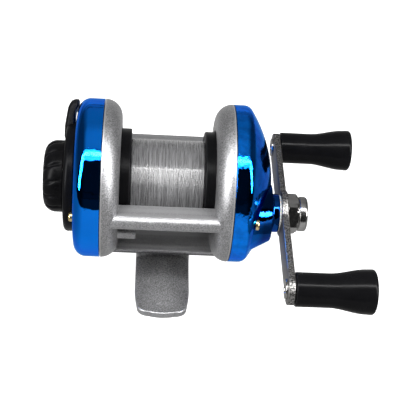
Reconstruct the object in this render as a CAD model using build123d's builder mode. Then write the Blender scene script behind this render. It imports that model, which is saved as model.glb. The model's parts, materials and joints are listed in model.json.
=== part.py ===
from build123d import *
import math
import os

# Small round-bodied baitcasting reel. Sizes are in millimetres.
# +X points at the handle, +Y at the rod tip, and +Z up.
# The origin is the centre of the foot's flat underside.

# ---------------------------------------------------------------- driving dimensions

axis_height = 26.0            # spool axis above the seat of the foot

side_radius = 22.5            # hoops and side covers
seam_x = 18.25                # where each cover meets its hoop
hoop_face_x = 13.2            # inner face of each hoop
hoop_round = 4.8              # rounded inner edge of each hoop
hoop_bore = 14.75             # radius of the hole that the spool flange sits in

bar_reach_x = 15.8            # how far bars and bottom plate run into the hoops
rest_near_y = -19.3           # start of the thumb rest's round nose
rest_far_y = -15.0            # edge of the thumb rest over the spool
rest_top_z = 3.6
rest_thickness = 4.4
pillar_inner_y = 15.3
pillar_nose_y = 17.4
pillar_thickness = 4.0
pillar_top_z = 2.2
plate_bottom = 5.1            # bottom plate, above the seat
plate_thickness = 1.4
plate_half_depth = 8.9

foot_half_length = 29.5
foot_half_width = 7.8
foot_tip_half_width = 6.4
foot_edge_thickness = 1.8
foot_crown = 0.6
saddle_half_depth = 7.8
rivet_radius = 1.1
rivet_x = 4.5
rivet_y = 4.6

spool_radius = 14.4
spool_half_width = 13.8
line_half_width = 10.3
line_radius = 11.7
arbor_radius = 5.5
shaft_radius = 1.5
shaft_small_radius = 1.0
shaft_left_x = -23.9
shaft_step_x = 18.5           # shoulder of the spool shaft and of the drive shaft
shaft_right_x = 24.0
running_gap = 0.06            # radial play of a shaft in its bushing

left_face_x = -25.6
left_corner = 4.4
cover_wall = 1.4
boss_radius = 5.4             # carries the click lever
thread_radius = 4.6           # carries the tension knob
boss_end_x = -31.6
spring_bore = 2.1
bushing_radius = 3.0
left_bushing_x = -23.8
left_bushing_length = 4.3
right_bushing_x = 15.4        # both bushings of the gear plate start here
right_bushing_length = 2.8

dome_radius = 38.5
dome_apex_x = 29.85
shoulder_round = 1.3
hub_radius = 5.4
hub_end_x = 31.6
gear_boss_root = 10.7
gear_boss_rim = 7.9
gear_boss_base_x = 24.2
gear_boss_face_x = 29.4
gear_boss_edge = 0.8          # chamfers on the boss and the hub
outer_bushing_wall = 1.15

left_screw_ring = 16.9
left_screw_angles = (180, 300, 10)
left_screw_head = 1.3
right_screw_ring = 18.9
right_screw_angles = (175, 300, 10)
right_screw_head = 1.6
screw_shank = 0.8
screw_head_height = 1.1
screw_reach = 2.9             # how far a cover screw enters its hoop

gear_plate_radius = 17.2
gear_plate_x = 16.2
gear_plate_thickness = 2.0
plate_screw_ring = 16.0
plate_screw_angles = (30, 150, 270)
plate_screw_head = 1.1
plate_screw_head_height = 0.8
plate_screw_reach = 2.0       # how far a plate screw enters the hoop

gear_module = 0.5
pinion_teeth = 10
drive_teeth = 30
gear_distance = gear_module * (pinion_teeth + drive_teeth) / 2
drive_angle = 191.5           # direction of the drive shaft from the spool axis
drive_y = gear_distance * math.cos(math.radians(drive_angle))
drive_z = gear_distance * math.sin(math.radians(drive_angle))
drive_gear_x = 20.6
drive_gear_width = 2.4
drive_shaft_radius = 3.0
drive_journal_radius = 2.0
drive_shaft_end_x = 39.3

ratchet_teeth = 12
ratchet_radius = 5.5
ratchet_root = 4.6
ratchet_x = 18.7
ratchet_width = 1.2
pawl_pivot_distance = 9.0
pawl_pivot_angle = -75.0
pawl_tip_radius = 5.85        # resting clearance over the ratchet
pawl_pin_radius = 0.8

arm_x = 31.95
arm_thickness = 1.9
arm_half_width = 4.2
arm_hub_radius = 6.4
knob_spacing = 59.2
shaft_flat = 2.5              # half the distance between the drive shaft's flats

knob_start_x = 34.05
knob_end_x = 55.6
knob_neck_radius = 4.6
knob_end_radius = 6.05
knob_pin_radius = 1.6
knob_pin_head = 2.7

nut_x = arm_x + arm_thickness
nut_half_flats = 5.0
nut_hex_height = 3.1
nut_collar_height = 2.6
nut_collar_radius = 4.87

lever_radius = 15.5
lever_inner_x = -25.9
lever_outer_x = -28.6
lever_round = 1.6
lever_tab_angle = 49.0        # direction of the finger tab at rest
lever_tab_half_width = 4.2
cam_angle = 240.0             # direction of the click pawl's slide
cam_radius = 10.4             # cam pin's distance from the spool axis at rest
cam_rate = 2.0                # slide travel in millimetres per radian of lever
cam_sweep = 40.0              # lever's throw in degrees
cam_pin_radius = 0.8
click_teeth = 20
click_radius = 6.0
click_root = 4.9
click_x = -18.6
click_width = 1.4

tension_knob_radius = 10.2
tension_knob_inner_x = -28.95
tension_knob_outer_x = -35.0
tension_pad_x = -25.2

# ---------------------------------------------------------------- planes and outlines


def across(x, y=0.0, z=0.0):
    """Plane square to the spool axis. Local x runs along +Y and local y along +Z."""
    return Plane(origin=(x, y, axis_height + z), x_dir=(0, 1, 0), z_dir=(1, 0, 0))


def lengthwise(y=0.0, z=0.0):
    """Plane through an axle. Local x runs along the axle and local y is the radius."""
    return Plane(origin=(0, y, axis_height + z), x_dir=(1, 0, 0), z_dir=(0, -1, 0))


def axle(y=0.0, z=0.0):
    return Axis((0, y, axis_height + z), (1, 0, 0))


def polar(radius, degrees, y=0.0, z=0.0):
    angle = math.radians(degrees)
    return (y + radius * math.cos(angle), z + radius * math.sin(angle))


def dome_x(radius):
    """Where the right cover's domed face is, at a distance from the spool axis."""
    return dome_apex_x - dome_radius + math.sqrt(dome_radius**2 - radius**2)


def gear_points(teeth, phase):
    """Involute spur teeth with a little backlash; one tooth is centred on the phase angle."""
    pressure = math.radians(20)
    addendum = 0.8 * gear_module
    dedendum = 1.1 * gear_module
    backlash = 0.12
    pitch_radius = gear_module * teeth / 2
    base_radius = pitch_radius * math.cos(pressure)
    root_radius = pitch_radius - dedendum
    tip_radius = pitch_radius + addendum

    def half_tooth(radius):
        flank = math.acos(min(1.0, base_radius / radius))
        rise = (math.tan(pressure) - pressure) - (math.tan(flank) - flank)
        return math.pi / 2 / teeth - backlash / 2 / pitch_radius + rise

    steps = 4
    radii = [root_radius + (tip_radius - root_radius) * i / steps for i in range(steps + 1)]
    points = []
    for tooth in range(teeth):
        centre = math.radians(phase) + 2 * math.pi * tooth / teeth
        rising = [(r, centre - half_tooth(r)) for r in radii]
        falling = [(r, centre + half_tooth(r)) for r in reversed(radii)]
        points += [(r * math.cos(a), r * math.sin(a)) for r, a in rising + falling]
    return points


def saw_points(teeth, root, tip, phase, steep):
    """Teeth that rise from the root to the tip over the first part of each pitch."""
    points = []
    for tooth in range(teeth):
        start = phase + 360 * tooth / teeth
        points.append(polar(root, start))
        points.append(polar(tip, start + steep * 360 / teeth))
        points.append(polar(tip, start + (steep + 0.08) * 360 / teeth))
    return points


# ---------------------------------------------------------------- frame

with BuildPart() as frame:
    with BuildSketch(lengthwise()):
        with BuildLine():
            Polyline(
                (hoop_face_x, side_radius - hoop_round),
                (hoop_face_x, hoop_bore),
                (seam_x, hoop_bore),
                (seam_x, side_radius),
                (hoop_face_x + hoop_round, side_radius),
            )
            RadiusArc(
                (hoop_face_x, side_radius - hoop_round),
                (hoop_face_x + hoop_round, side_radius),
                hoop_round,
            )
        make_face()
    revolve(axis=axle())
    mirror(about=Plane.YZ)
    # thumb rest: flat on top, with a round nose towards the angler
    with BuildSketch(across(-bar_reach_x)):
        with BuildLine():
            Polyline(
                (rest_near_y, rest_top_z),
                (rest_far_y, rest_top_z),
                (rest_far_y, rest_top_z - rest_thickness),
                (rest_near_y, rest_top_z - rest_thickness),
            )
            ThreePointArc(
                (rest_near_y, rest_top_z),
                (rest_near_y - rest_thickness / 2, rest_top_z - rest_thickness / 2),
                (rest_near_y, rest_top_z - rest_thickness),
            )
        make_face()
    extrude(amount=2 * bar_reach_x)
    # front pillar, with its round nose towards the rod tip
    with BuildSketch(across(-bar_reach_x)):
        with BuildLine():
            Polyline(
                (pillar_nose_y, pillar_top_z),
                (pillar_inner_y, pillar_top_z),
                (pillar_inner_y, pillar_top_z - pillar_thickness),
                (pillar_nose_y, pillar_top_z - pillar_thickness),
            )
            ThreePointArc(
                (pillar_nose_y, pillar_top_z),
                (pillar_nose_y + pillar_thickness / 2, pillar_top_z - pillar_thickness / 2),
                (pillar_nose_y, pillar_top_z - pillar_thickness),
            )
        make_face()
    extrude(amount=2 * bar_reach_x)
    # bottom plate, which the foot is riveted to
    with BuildSketch(Plane.XY.offset(plate_bottom)):
        Rectangle(2 * bar_reach_x, 2 * plate_half_depth)
    extrude(amount=plate_thickness)
    # cast tab under the thumb rest, on the left hoop
    with BuildSketch(across(-hoop_face_x - 0.6)):
        with Locations((-16.2, -6.1)):
            RectangleRounded(2.0, 2.6, 0.5)
    extrude(amount=5.6)
    # seat for the gear plate in the right hoop
    with BuildSketch(across(gear_plate_x)):
        Circle(gear_plate_radius)
    extrude(amount=seam_x - gear_plate_x, mode=Mode.SUBTRACT)
    with BuildSketch(across(gear_plate_x)):
        for angle in plate_screw_angles:
            with Locations(polar(plate_screw_ring, angle)):
                Circle(screw_shank)
    extrude(amount=-plate_screw_reach - 0.2, mode=Mode.SUBTRACT)
    # tapped holes for the cover screws
    with BuildSketch(across(-seam_x)):
        for angle in left_screw_angles:
            with Locations(polar(left_screw_ring, angle)):
                Circle(screw_shank)
    extrude(amount=screw_reach + 0.3, mode=Mode.SUBTRACT)
    with BuildSketch(across(seam_x)):
        for angle in right_screw_angles:
            with Locations(polar(right_screw_ring, angle)):
                Circle(screw_shank)
    extrude(amount=-screw_reach - 0.3, mode=Mode.SUBTRACT)
    with BuildSketch(Plane.XY.offset(plate_bottom)):
        with GridLocations(2 * rivet_x, 2 * rivet_y, 2, 2):
            Circle(rivet_radius)
    extrude(amount=plate_thickness, mode=Mode.SUBTRACT)

# ---------------------------------------------------------------- foot and its rivets

with BuildPart() as reel_foot:
    with BuildSketch(Plane.XY) as tongue_outline:
        with BuildLine():
            taper_y = foot_half_length - 9.0
            shoulder_y = foot_half_length - 1.9
            Line((foot_half_width, -taper_y), (foot_half_width, taper_y))
            Spline(
                (foot_half_width, taper_y),
                (foot_half_width - 0.4, taper_y + 3.6),
                (foot_tip_half_width, shoulder_y),
                tangents=((0, 1), (-0.25, 1)),
            )
            Spline(
                (foot_tip_half_width, shoulder_y),
                (foot_tip_half_width - 2.0, foot_half_length - 0.35),
                (0, foot_half_length),
                tangents=((-0.25, 1), (-1, 0)),
            )
            mirror(about=Plane.YZ)
            mirror(about=Plane.XZ)
        make_face()
    extrude(amount=foot_edge_thickness + foot_crown)
    # the tongue's top is crowned from side to side
    with BuildSketch(Plane.XZ):
        with BuildLine():
            crown_arc = ThreePointArc(
                (-foot_half_width, foot_edge_thickness),
                (0, foot_edge_thickness + foot_crown),
                (foot_half_width, foot_edge_thickness),
            )
            Polyline(
                crown_arc @ 1,
                (foot_half_width, 0),
                (-foot_half_width, 0),
                crown_arc @ 0,
            )
        make_face()
    extrude(amount=foot_half_length, both=True, mode=Mode.INTERSECT)
    # saddle under the bottom plate, with sloping ends
    with BuildSketch(Plane.YZ):
        with BuildLine():
            Polyline(
                (-saddle_half_depth - 2.4, foot_edge_thickness),
                (-saddle_half_depth, plate_bottom),
                (saddle_half_depth, plate_bottom),
                (saddle_half_depth + 2.4, foot_edge_thickness),
                close=True,
            )
        make_face()
    extrude(amount=foot_half_width, both=True)
    with BuildSketch(Plane.XY):
        with GridLocations(2 * rivet_x, 2 * rivet_y, 2, 2):
            Circle(rivet_radius)
    extrude(amount=plate_bottom, mode=Mode.SUBTRACT)

# the rivets are hammered flush with the plate and with the foot's underside
with BuildPart() as foot_rivets:
    with BuildSketch(Plane.XY):
        with GridLocations(2 * rivet_x, 2 * rivet_y, 2, 2):
            Circle(rivet_radius)
    extrude(amount=plate_bottom + plate_thickness)

# ---------------------------------------------------------------- covers and their screws


def screw_posts(x, length, ring, angles, rib_length):
    """Posts inside a cover, joined to its wall by ribs, that the cover screws pass through."""
    with BuildPart() as posts:
        with BuildSketch(across(x)):
            for angle in angles:
                with Locations(polar(ring, angle)):
                    Circle(1.4)
                with Locations(Location((*polar(ring + rib_length / 2, angle), 0), (0, 0, angle))):
                    Rectangle(rib_length, 2.0)
        extrude(amount=length)
    return posts.part


def screw_cores(x, length, ring, angles, radius):
    """Round bars on the cover screws' axes."""
    with BuildPart() as cores:
        with BuildSketch(across(x)):
            for angle in angles:
                with Locations(polar(ring, angle)):
                    Circle(radius)
        extrude(amount=length)
    return cores.part


left_wall_x = left_face_x + 1.6
left_posts = screw_posts(
    left_wall_x, -seam_x - left_wall_x, left_screw_ring, left_screw_angles, 4.4
)
left_screw_bores = screw_cores(
    left_face_x, -seam_x - left_face_x, left_screw_ring, left_screw_angles, screw_shank
)
with BuildPart() as left_cover:
    with BuildSketch(lengthwise()):
        with BuildLine():
            Polyline(
                (left_face_x, side_radius - left_corner),
                (left_face_x, boss_radius),
                (lever_outer_x - 0.05, boss_radius),
                (lever_outer_x - 0.05, thread_radius),
                (boss_end_x, thread_radius),
                (boss_end_x, spring_bore),
                (left_bushing_x - 0.4, spring_bore),
                (left_bushing_x - 0.4, bushing_radius),
                (left_bushing_x + left_bushing_length + 0.1, bushing_radius),
                (left_bushing_x + left_bushing_length + 0.1, bushing_radius + cover_wall),
                (left_wall_x, bushing_radius + cover_wall),
                (left_wall_x, side_radius - left_corner),
                (left_wall_x + left_corner - cover_wall, side_radius - cover_wall),
                (-seam_x, side_radius - cover_wall),
                (-seam_x, side_radius),
                (left_face_x + left_corner, side_radius),
            )
            RadiusArc(
                (left_face_x, side_radius - left_corner),
                (left_face_x + left_corner, side_radius),
                left_corner,
            )
        make_face()
    revolve(axis=axle())
    add(left_posts)
    add(left_screw_bores, mode=Mode.SUBTRACT)
    # channel that the click pawl slides in, and the slot for its cam pin
    with BuildSketch(across(left_wall_x)):
        for edge in (-1, 1):
            rib_centre = Vector(*polar(10.7, cam_angle)) + Vector(*polar(2.15 * edge, cam_angle + 90))
            with Locations(Location((rib_centre.X, rib_centre.Y, 0), (0, 0, cam_angle))):
                Rectangle(7.0, 1.0)
    extrude(amount=1.4)
    with BuildSketch(across(left_face_x)):
        slot_middle = cam_radius - cam_rate * math.radians(cam_sweep) / 2
        with Locations(Location((*polar(slot_middle, cam_angle), 0), (0, 0, cam_angle))):
            SlotOverall(4.0, 2 * cam_pin_radius + 0.4)
    extrude(amount=2.0, mode=Mode.SUBTRACT)

right_seat_x = 24.4           # where the right cover's screw heads rest
right_inner_radius = dome_radius - cover_wall
right_posts = screw_posts(
    seam_x, right_seat_x - seam_x, right_screw_ring, right_screw_angles, 2.6
)
right_screw_bores = screw_cores(
    seam_x, dome_apex_x - seam_x, right_screw_ring, right_screw_angles, screw_shank
)
right_screw_seats = screw_cores(
    right_seat_x, dome_apex_x - right_seat_x, right_screw_ring, right_screw_angles, right_screw_head + 0.15
)
with BuildPart() as right_cover:
    with BuildSketch(lengthwise()) as dome_section:
        with BuildLine():
            Polyline(
                (dome_apex_x, 0),
                (seam_x, 0),
                (seam_x, side_radius),
                (dome_x(side_radius), side_radius),
            )
            RadiusArc((dome_x(side_radius), side_radius), (dome_apex_x, 0), dome_radius)
        make_face()
        rim_corners = dome_section.vertices().group_by(Axis.Y)[-1]
        fillet(rim_corners.sort_by(Axis.X)[-1], shoulder_round)
    revolve(axis=axle())
    # tapered boss over the drive gear, and the hub that carries the drive shaft
    with BuildSketch(lengthwise(drive_y, drive_z)):
        with BuildLine():
            Polyline(
                (gear_boss_base_x - 0.6, 0),
                (gear_boss_base_x - 0.6, gear_boss_root),
                (gear_boss_base_x, gear_boss_root),
                (gear_boss_face_x - gear_boss_edge, gear_boss_rim),
                (gear_boss_face_x, gear_boss_rim - gear_boss_edge),
                (gear_boss_face_x, hub_radius + gear_boss_edge),
                (gear_boss_face_x + gear_boss_edge, hub_radius),
                (hub_end_x, hub_radius),
                (hub_end_x, 0),
                close=True,
            )
        make_face()
    revolve(axis=axle(drive_y, drive_z))
    # hollow inside
    with BuildSketch(lengthwise()):
        with BuildLine():
            inner_apex = dome_apex_x - cover_wall
            inner_wall = side_radius - cover_wall
            inner_corner_x = inner_apex - right_inner_radius + math.sqrt(
                right_inner_radius**2 - inner_wall**2
            )
            Polyline(
                (inner_apex, 0),
                (seam_x, 0),
                (seam_x, inner_wall),
                (inner_corner_x, inner_wall),
            )
            RadiusArc((inner_corner_x, inner_wall), (inner_apex, 0), right_inner_radius)
        make_face()
    revolve(axis=axle(), mode=Mode.SUBTRACT)
    add(right_posts)
    add(right_screw_bores, mode=Mode.SUBTRACT)
    add(right_screw_seats, mode=Mode.SUBTRACT)
    with BuildSketch(across(seam_x, drive_y, drive_z)):
        Circle(drive_shaft_radius + outer_bushing_wall)
    extrude(amount=hub_end_x - seam_x, mode=Mode.SUBTRACT)


def cover_screws(seat_x, outward, shank_length, ring, angles, head_radius):
    """Three cross-recessed screws whose heads rest on a seat and point outwards."""
    with BuildPart() as screws:
        with BuildSketch(across(seat_x)):
            for angle in angles:
                with Locations(polar(ring, angle)):
                    Circle(head_radius)
        extrude(amount=outward * screw_head_height)
        rims = screws.faces().sort_by(Axis.X, reverse=outward > 0)[:3].edges()
        fillet(rims, 0.4)
        with BuildSketch(across(seat_x)):
            for angle in angles:
                with Locations(polar(ring, angle)):
                    Circle(screw_shank)
        extrude(amount=-outward * shank_length)
        with BuildSketch(across(seat_x + outward * screw_head_height)):
            for angle in angles:
                with Locations(polar(ring, angle)):
                    Rectangle(1.5, 0.4)
                    Rectangle(0.4, 1.5)
        extrude(amount=-outward * 0.6, mode=Mode.SUBTRACT)
    return screws


left_cover_screws = cover_screws(
    left_face_x,
    -1,
    -seam_x + screw_reach - left_face_x,
    left_screw_ring,
    left_screw_angles,
    left_screw_head,
)
right_cover_screws = cover_screws(
    right_seat_x,
    1,
    right_seat_x - seam_x + screw_reach,
    right_screw_ring,
    right_screw_angles,
    right_screw_head,
)

# ---------------------------------------------------------------- spool


def tube(x, length, outer, inner, y=0.0, z=0.0):
    """Plain ring or bushing along an axle."""
    with BuildPart() as ring:
        with BuildSketch(across(x, y, z)):
            Circle(outer)
            Circle(inner, mode=Mode.SUBTRACT)
        extrude(amount=length)
    return ring


with BuildPart() as spool:
    with BuildSketch(lengthwise()):
        with BuildLine():
            Polyline(
                (0, shaft_radius),
                (0, arbor_radius),
                (line_half_width, arbor_radius),
                (line_half_width, spool_radius - 0.5),
                (line_half_width + 0.5, spool_radius),
                (spool_half_width - 0.4, spool_radius),
                (spool_half_width, spool_radius - 0.4),
                (spool_half_width, spool_radius - 1.6),
                (line_half_width + 1.4, spool_radius - 2.4),
                (line_half_width + 1.4, 7.0),
                (spool_half_width, 5.6),
                (spool_half_width, shaft_radius),
                close=True,
            )
        make_face()
    revolve(axis=axle())
    mirror(about=Plane.YZ)
    # neck that carries the click gear
    with BuildSketch(across(-spool_half_width)):
        Circle(3.2)
        Circle(shaft_radius, mode=Mode.SUBTRACT)
    extrude(amount=click_x + click_width + spool_half_width)

with BuildPart() as line_winding:
    with BuildSketch(lengthwise()):
        with BuildLine():
            Polyline(
                (line_half_width, line_radius - 0.15),
                (line_half_width, arbor_radius),
                (-line_half_width, arbor_radius),
                (-line_half_width, line_radius - 0.15),
            )
            ThreePointArc(
                (-line_half_width, line_radius - 0.15),
                (0, line_radius),
                (line_half_width, line_radius - 0.15),
            )
        make_face()
    revolve(axis=axle())

with BuildPart() as spool_shaft:
    with BuildSketch(lengthwise()):
        with BuildLine():
            Polyline(
                (shaft_left_x, 0),
                (shaft_left_x, shaft_radius - 0.3),
                (shaft_left_x + 0.3, shaft_radius),
                (shaft_step_x, shaft_radius),
                (shaft_step_x, shaft_small_radius),
                (shaft_right_x - 0.2, shaft_small_radius),
                (shaft_right_x, shaft_small_radius - 0.2),
                (shaft_right_x, 0),
                close=True,
            )
        make_face()
    revolve(axis=axle())

with BuildPart() as click_gear:
    with BuildSketch(across(click_x)):
        with BuildLine():
            pitch = 360 / click_teeth
            star = []
            for tooth in range(click_teeth):
                gap = cam_angle + tooth * pitch
                star.append(polar(click_root, gap - 0.12 * pitch))
                star.append(polar(click_root, gap + 0.12 * pitch))
                star.append(polar(click_radius, gap + 0.45 * pitch))
                star.append(polar(click_radius, gap + 0.55 * pitch))
            Polyline(*star, close=True)
        make_face()
        Circle(shaft_radius, mode=Mode.SUBTRACT)
    extrude(amount=click_width)

with BuildPart() as pinion:
    with BuildSketch(across(drive_gear_x - 0.4)):
        with BuildLine():
            Polyline(*gear_points(pinion_teeth, drive_angle + 180 / pinion_teeth), close=True)
        make_face()
        Circle(shaft_small_radius, mode=Mode.SUBTRACT)
    extrude(amount=drive_gear_width + 0.8)

left_bushing = tube(
    left_bushing_x, left_bushing_length, bushing_radius, shaft_radius + running_gap
)
right_bushing = tube(
    right_bushing_x, right_bushing_length, bushing_radius, shaft_radius + running_gap
)

# ---------------------------------------------------------------- spool tension parts

with BuildPart() as tension_pad:
    with BuildSketch(across(tension_pad_x)):
        Circle(spring_bore - 0.1)
    extrude(amount=left_bushing_x - 0.45 - tension_pad_x)

spring_start_x = -32.0
spring_wire = 0.25
spring_coil = 1.65
spring_pitch = 1.1
spring_length = tension_pad_x - spring_start_x - 2 * spring_wire - 0.1
with BuildPart() as tension_spring:
    with BuildLine() as coil_path:
        Helix(
            pitch=spring_pitch,
            height=spring_length,
            radius=spring_coil,
            center=(spring_start_x + spring_wire + 0.05, 0, axis_height),
            direction=(1, 0, 0),
        )
    with BuildSketch(Plane(origin=coil_path.line @ 0, z_dir=coil_path.line % 0)):
        Circle(spring_wire)
    sweep()

with BuildPart() as tension_knob:
    with BuildSketch(lengthwise()):
        with BuildLine():
            rim = 3.4
            Polyline(
                (tension_knob_outer_x + 0.5, tension_knob_radius - rim),
                (tension_knob_outer_x, 0),
                (spring_start_x - 0.2, 0),
                (spring_start_x - 0.2, thread_radius + 0.08),
                (tension_knob_inner_x, thread_radius + 0.08),
                (tension_knob_inner_x, thread_radius + 1.6),
                (spring_start_x - 0.2, thread_radius + 1.6),
                (spring_start_x - 0.2, tension_knob_radius - 2.6),
                (tension_knob_inner_x, tension_knob_radius - 1.4),
                (tension_knob_inner_x, tension_knob_radius),
                (tension_knob_outer_x + 0.5 + rim, tension_knob_radius),
            )
            RadiusArc(
                (tension_knob_outer_x + 0.5, tension_knob_radius - rim),
                (tension_knob_outer_x + 0.5 + rim, tension_knob_radius),
                rim,
            )
        make_face()
    revolve(axis=axle())

# ---------------------------------------------------------------- click lever and pawl

groove_points = []
for degrees in (4, -cam_sweep / 2, -cam_sweep - 4):
    groove_radius = cam_radius + cam_rate * math.radians(degrees)
    groove_points.append(polar(groove_radius, cam_angle + degrees))
groove = ThreePointArc(*groove_points)

with BuildPart() as click_lever:
    with BuildSketch(lengthwise()):
        with BuildLine():
            Polyline(
                (lever_outer_x, lever_radius - lever_round),
                (lever_outer_x, boss_radius + 0.08),
                (lever_inner_x, boss_radius + 0.08),
                (lever_inner_x, lever_radius),
                (lever_outer_x + lever_round, lever_radius),
            )
            RadiusArc(
                (lever_outer_x, lever_radius - lever_round),
                (lever_outer_x + lever_round, lever_radius),
                lever_round,
            )
        make_face()
    revolve(axis=axle())
    # finger tab, which leans in over the rounded corner of the cover
    tab_plane = Plane(
        origin=(0, 0, axis_height),
        x_dir=(1, 0, 0),
        z_dir=(0, *polar(1.0, lever_tab_angle + 90)),
    )
    with BuildSketch(tab_plane):
        with BuildLine():
            tab_back = Spline(
                (-29.3, 14.0),
                (-29.0, 16.6),
                (-28.4, 19.8),
                (-27.2, 22.1),
            )
            Line((-29.3, 14.0), (lever_inner_x, 11.0))
            Polyline(
                (lever_inner_x, 11.0),
                (lever_inner_x - 0.3, 15.6),
                (lever_inner_x - 0.45, 18.6),
                (-25.4, 20.2),
                (-25.4, 22.3),
                tab_back @ 1,
            )
        make_face()
    extrude(amount=lever_tab_half_width, both=True)
    # spiral groove that drives the click pawl in and out
    with BuildSketch(across(lever_inner_x)):
        SlotArc(groove, 2 * cam_pin_radius + 0.4)
    extrude(amount=-1.5, mode=Mode.SUBTRACT)

lever_ring = tube(-28.9, 0.2, boss_radius + 1.4, thread_radius)

with BuildPart() as click_pawl:
    pawl_plane = Plane(
        origin=(0, 0, axis_height),
        x_dir=(1, 0, 0),
        z_dir=(0, *polar(1.0, cam_angle + 90)),
    )
    with BuildSketch(pawl_plane):
        with BuildLine():
            Polyline(
                (left_wall_x + 0.1, 7.8),
                (left_wall_x + 0.1, 13.2),
                (left_wall_x + 1.5, 13.2),
                (left_wall_x + 1.5, 9.4),
                (click_x + click_width - 0.1, 9.4),
                (click_x + click_width - 0.1, 7.8),
                close=True,
            )
        make_face()
    extrude(amount=1.5, both=True)
    with BuildSketch(across(click_x + 0.1)):
        with BuildLine():
            Polyline(
                polar(8.0, cam_angle - 4.5),
                polar(6.5, cam_angle - 1.6),
                polar(6.5, cam_angle + 1.6),
                polar(8.0, cam_angle + 4.5),
                close=True,
            )
        make_face()
    extrude(amount=click_width - 0.2)
    with BuildSketch(across(left_wall_x + 0.1)):
        with Locations(polar(cam_radius, cam_angle)):
            Circle(cam_pin_radius)
    extrude(amount=lever_inner_x - 1.3 - left_wall_x - 0.1)

# ---------------------------------------------------------------- gear plate and drive

with BuildPart() as gear_plate:
    with BuildSketch(across(gear_plate_x)):
        Circle(gear_plate_radius)
        Circle(bushing_radius, mode=Mode.SUBTRACT)
        with Locations((drive_y, drive_z)):
            Circle(drive_journal_radius + 1.0, mode=Mode.SUBTRACT)
        with Locations(polar(pawl_pivot_distance, pawl_pivot_angle, drive_y, drive_z)):
            Circle(pawl_pin_radius, mode=Mode.SUBTRACT)
        for angle in plate_screw_angles:
            with Locations(polar(plate_screw_ring, angle)):
                Circle(screw_shank, mode=Mode.SUBTRACT)
    extrude(amount=gear_plate_thickness)
    with BuildSketch(across(gear_plate_x + gear_plate_thickness)):
        for angle in plate_screw_angles:
            with Locations(polar(plate_screw_ring, angle)):
                Circle(plate_screw_head)
    extrude(amount=-plate_screw_head_height, mode=Mode.SUBTRACT)

with BuildPart() as gear_plate_screws:
    with BuildSketch(across(gear_plate_x - plate_screw_reach)):
        for angle in plate_screw_angles:
            with Locations(polar(plate_screw_ring, angle)):
                Circle(screw_shank)
    extrude(amount=plate_screw_reach + gear_plate_thickness)
    with BuildSketch(across(gear_plate_x + gear_plate_thickness)):
        for angle in plate_screw_angles:
            with Locations(polar(plate_screw_ring, angle)):
                Circle(plate_screw_head)
    extrude(amount=-plate_screw_head_height)

inner_drive_bushing = tube(
    right_bushing_x,
    right_bushing_length,
    drive_journal_radius + 1.0,
    drive_journal_radius + running_gap,
    drive_y,
    drive_z,
)
outer_drive_bushing = tube(
    gear_boss_base_x,
    hub_end_x - gear_boss_base_x,
    drive_shaft_radius + outer_bushing_wall,
    drive_shaft_radius + running_gap,
    drive_y,
    drive_z,
)

with BuildPart() as drive_shaft:
    with BuildSketch(lengthwise(drive_y, drive_z)):
        with BuildLine():
            Polyline(
                (right_bushing_x + 0.1, 0),
                (right_bushing_x + 0.1, drive_journal_radius),
                (shaft_step_x, drive_journal_radius),
                (shaft_step_x, drive_shaft_radius),
                (drive_shaft_end_x - 0.4, drive_shaft_radius),
                (drive_shaft_end_x, drive_shaft_radius - 0.4),
                (drive_shaft_end_x, 0),
                close=True,
            )
        make_face()
    revolve(axis=axle(drive_y, drive_z))
    # two flats that turn the handle arm
    with BuildSketch(across(hub_end_x, drive_y, drive_z)):
        for edge in (-1, 1):
            with Locations((0, edge * (shaft_flat + 1.0))):
                Rectangle(8.0, 2.0)
    extrude(amount=8.0, mode=Mode.SUBTRACT)

with BuildPart() as drive_gear:
    with BuildSketch(across(drive_gear_x, drive_y, drive_z)):
        with BuildLine():
            Polyline(*gear_points(drive_teeth, drive_angle + 180), close=True)
        make_face()
        Circle(drive_shaft_radius, mode=Mode.SUBTRACT)
    extrude(amount=drive_gear_width)

pawl_tip_angle = pawl_pivot_angle - 38.0
with BuildPart() as ratchet_wheel:
    with BuildSketch(across(ratchet_x, drive_y, drive_z)):
        with BuildLine():
            Polyline(
                *saw_points(ratchet_teeth, ratchet_root, ratchet_radius, pawl_tip_angle - 3.0, 0.8),
                close=True,
            )
        make_face()
        Circle(drive_shaft_radius, mode=Mode.SUBTRACT)
    extrude(amount=ratchet_width)

with BuildPart() as anti_reverse_pawl:
    pivot = polar(pawl_pivot_distance, pawl_pivot_angle)
    tip = polar(pawl_tip_radius, pawl_tip_angle)
    with BuildSketch(across(ratchet_x + 0.05, drive_y, drive_z)):
        with Locations(pivot):
            Circle(1.8)
        with BuildLine():
            Polyline(
                tip,
                polar(pawl_tip_radius + 0.35, pawl_tip_angle - 4.0),
                polar(pawl_pivot_distance + 1.5, pawl_pivot_angle - 8.0),
                polar(pawl_pivot_distance - 1.4, pawl_pivot_angle - 4.0),
                polar(pawl_tip_radius + 0.75, pawl_tip_angle + 9.0),
                close=True,
            )
        make_face()
        with Locations(pivot):
            Circle(pawl_pin_radius + running_gap, mode=Mode.SUBTRACT)
    extrude(amount=ratchet_width - 0.1)

with BuildPart() as pawl_pin:
    with BuildSketch(across(gear_plate_x, drive_y, drive_z)):
        with Locations(polar(pawl_pivot_distance, pawl_pivot_angle)):
            Circle(pawl_pin_radius)
    extrude(amount=ratchet_x + ratchet_width - gear_plate_x)
    with BuildSketch(across(ratchet_x + ratchet_width, drive_y, drive_z)):
        with Locations(polar(pawl_pivot_distance, pawl_pivot_angle)):
            Circle(pawl_pin_radius + 0.5)
    extrude(amount=0.4)

drive_shaft_clip = tube(
    drive_gear_x + drive_gear_width, 0.6, drive_shaft_radius + 1.4, drive_shaft_radius, drive_y, drive_z
)

# ---------------------------------------------------------------- handle

knob_centres = {
    "rear": drive_y - knob_spacing / 2,
    "front": drive_y + knob_spacing / 2,
}

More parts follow.
